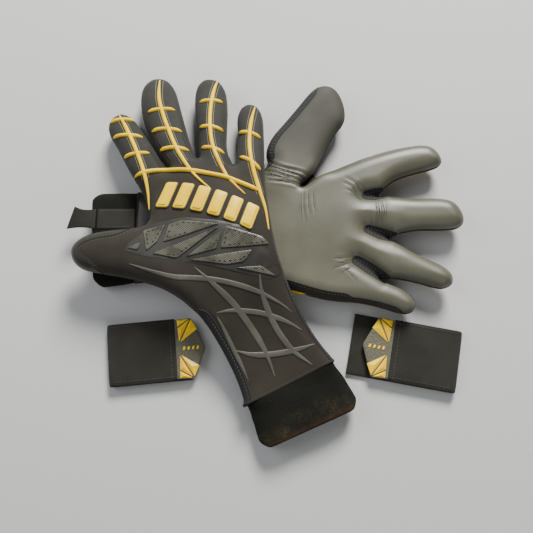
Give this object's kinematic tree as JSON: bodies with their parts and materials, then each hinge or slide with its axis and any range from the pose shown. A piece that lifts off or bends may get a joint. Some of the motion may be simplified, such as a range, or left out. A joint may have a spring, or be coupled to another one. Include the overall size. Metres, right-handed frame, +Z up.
{
  "type": "goalkeeper gloves",
  "caption": "Pair of padded goalkeeper gloves with grey latex palms, gold ribbed finger backs and pull-on cuffs, laid crossed with two folded wrist straps.",
  "frame": {"origin": "on the surface the gloves lie on, at the middle of the whole layout", "axes": "+Z up from the surface; +Y from the right glove's cuff towards its fingertips; +X towards the left glove's fingertips"},
  "size_m": [0.3206, 0.3116, 0.0473],
  "materials": {
    "latex": "smooth matt grey latex foam with a faint grain",
    "backing": "matt dark brushed stretch fabric",
    "knit": "black ribbed elastic knit",
    "gold": "satin metallic gold moulded silicone",
    "film": "glossy grey printed film",
    "elastic": "dark woven elastic",
    "rubber": "dark grey moulded rubber",
    "hook": "black hook fastener"
  },
  "bodies": {
    "left_hand": {"left_palm_latex": "latex", "left_backhand": "backing", "left_cuff": "knit", "left_pull_tape": "elastic", "left_knuckle_rib": "gold", "left_wrist_web": "film", "left_punch_strip": "gold", "left_shard_panel": "film"},
    "left_thumb": {"left_thumb_latex": "latex", "left_thumb_back": "backing"},
    "left_index": {"left_index_latex": "latex", "left_index_back": "backing", "left_index_rib": "gold"},
    "left_middle": {"left_middle_latex": "latex", "left_middle_back": "backing", "left_middle_rib": "gold"},
    "left_ring": {"left_ring_latex": "latex", "left_ring_back": "backing", "left_ring_rib": "gold"},
    "left_little": {"left_little_latex": "latex", "left_little_back": "backing", "left_little_rib": "gold"},
    "left_pull_tab": {"left_pull_tab": "elastic"},
    "right_hand": {"right_palm_latex": "latex", "right_backhand": "backing", "right_cuff": "knit", "right_pull_tape": "elastic", "right_knuckle_rib": "gold", "right_wrist_web": "film", "right_punch_strip": "gold", "right_shard_panel": "film"},
    "right_thumb": {"right_thumb_latex": "latex", "right_thumb_back": "backing"},
    "right_index": {"right_index_latex": "latex", "right_index_back": "backing", "right_index_rib": "gold"},
    "right_middle": {"right_middle_latex": "latex", "right_middle_back": "backing", "right_middle_rib": "gold"},
    "right_ring": {"right_ring_latex": "latex", "right_ring_back": "backing", "right_ring_rib": "gold"},
    "right_little": {"right_little_latex": "latex", "right_little_back": "backing", "right_little_rib": "gold"},
    "right_pull_tab": {"right_pull_tab": "elastic"},
    "left_strap": {"left_strap_lower_band": "elastic"},
    "left_strap_flap": {"left_strap_upper_band": "elastic", "left_strap_end_tab": "rubber", "left_strap_inlay": "gold", "left_strap_hook_patch": "hook"},
    "right_strap": {"right_strap_lower_band": "elastic"},
    "right_strap_flap": {"right_strap_upper_band": "elastic", "right_strap_end_tab": "rubber", "right_strap_inlay": "gold", "right_strap_hook_patch": "hook"}
  },
  "joints": [
    {"name": "right_glove_lift", "type": "slide", "parent": "left_hand", "child": "right_hand", "axis": [0, 0, 1], "range_m": [0, 0.12]},
    {"name": "left_thumb_curl", "type": "hinge", "parent": "left_hand", "child": "left_thumb", "pos_m": [0.01652, 0.06604, 0.024], "axis": [0.9114, -0.4115, 0], "range_deg": [0, 50]},
    {"name": "left_index_curl", "type": "hinge", "parent": "left_hand", "child": "left_index", "pos_m": [0.081, 0.0625, 0.024], "axis": [0.3125, -0.9499, 0], "range_deg": [0, 75]},
    {"name": "left_middle_curl", "type": "hinge", "parent": "left_hand", "child": "left_middle", "pos_m": [0.0855, 0.031, 0.0244], "axis": [0.0005, -1, 0], "range_deg": [0, 75]},
    {"name": "left_ring_curl", "type": "hinge", "parent": "left_hand", "child": "left_ring", "pos_m": [0.0805, 0.0005, 0.0242], "axis": [-0.3157, -0.9488, 0], "range_deg": [0, 75]},
    {"name": "left_little_curl", "type": "hinge", "parent": "left_hand", "child": "left_little", "pos_m": [0.0625, -0.024, 0.0236], "axis": [-0.4006, -0.9163, 0], "range_deg": [0, 75]},
    {"name": "right_thumb_lift", "type": "hinge", "parent": "right_hand", "child": "right_thumb", "pos_m": [-0.08689, -0.01289, 0.04316], "axis": [0.1238, 0.9923, 0], "range_deg": [0, 35]},
    {"name": "right_index_curl", "type": "hinge", "parent": "right_hand", "child": "right_index", "pos_m": [-0.09766, 0.05785, 0.01918], "axis": [-0.9314, -0.3639, 0], "range_deg": [0, 75]},
    {"name": "right_middle_curl", "type": "hinge", "parent": "right_hand", "child": "right_middle", "pos_m": [-0.07097, 0.07012, 0.01969], "axis": [-0.9627, -0.2704, 0], "range_deg": [0, 75]},
    {"name": "right_ring_curl", "type": "hinge", "parent": "right_hand", "child": "right_ring", "pos_m": [-0.04131, 0.07103, 0.0199], "axis": [-0.9952, -0.0977, 0], "range_deg": [0, 75]},
    {"name": "right_little_curl", "type": "hinge", "parent": "right_hand", "child": "right_little", "pos_m": [-0.01438, 0.06557, 0.01963], "axis": [-0.9988, -0.0488, 0], "range_deg": [0, 75]},
    {"name": "left_pull_tab_swing", "type": "hinge", "parent": "left_hand", "child": "left_pull_tab", "pos_m": [-0.138, 0.03, 0.01725], "axis": [0, 1, 0], "range_deg": [0, 110]},
    {"name": "right_pull_tab_swing", "type": "hinge", "parent": "right_hand", "child": "right_pull_tab", "pos_m": [0.03566, -0.13632, 0.00195], "axis": [-0.8944, -0.4472, 0], "range_deg": [0, 150]},
    {"name": "left_strap_lift", "type": "slide", "parent": "left_hand", "child": "left_strap", "axis": [0, 0, 1], "range_m": [0, 0.12]},
    {"name": "left_strap_peel", "type": "hinge", "parent": "left_strap", "child": "left_strap_flap", "pos_m": [0.1515, -0.0865, 0.0039], "axis": [0.1822, 0.9833, 0], "range_deg": [0, 170]},
    {"name": "right_strap_lift", "type": "slide", "parent": "left_hand", "child": "right_strap", "axis": [0, 0, 1], "range_m": [0, 0.12]},
    {"name": "right_strap_peel", "type": "hinge", "parent": "right_strap", "child": "right_strap_flap", "pos_m": [-0.125, -0.0815, 0.0039], "axis": [0.0958, -0.9954, 0], "range_deg": [0, 170]}
  ]
}
